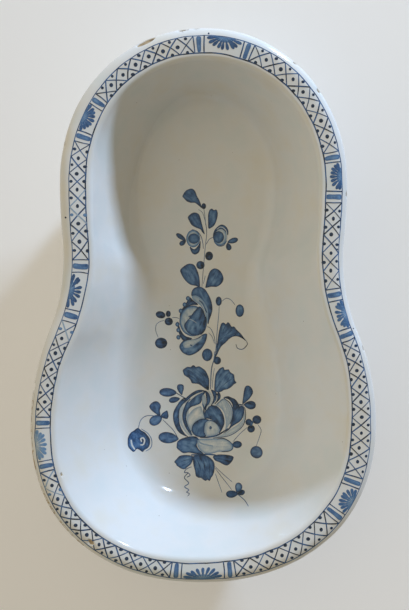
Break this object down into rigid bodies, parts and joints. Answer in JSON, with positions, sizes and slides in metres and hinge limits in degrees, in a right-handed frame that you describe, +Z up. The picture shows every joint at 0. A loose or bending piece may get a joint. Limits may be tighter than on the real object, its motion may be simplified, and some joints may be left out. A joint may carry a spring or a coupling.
{
  "type": "bidet basin",
  "caption": "Pear-waisted earthenware bidet basin with a turned-out rim, hollow walls and a flat foot, white-glazed inside and out and painted in blue.",
  "frame": {"origin": "on the surface that the basin stands on, under the middle of its length and width", "axes": "+Y along the basin to its narrow end, +Z up out of the basin, +X across it"},
  "size_m": [0.332, 0.53, 0.0979],
  "materials": {
    "fired_clay": "matt, porous fired earthenware, bare under the foot and at the chips",
    "white_glaze": "glossy opaque tin glaze, bluish white, with blue painting in it"
  },
  "bodies": {
    "root": {"clay_body": "fired_clay", "inside_glaze": "white_glaze", "outside_glaze": "white_glaze"}
  },
  "joints": []
}
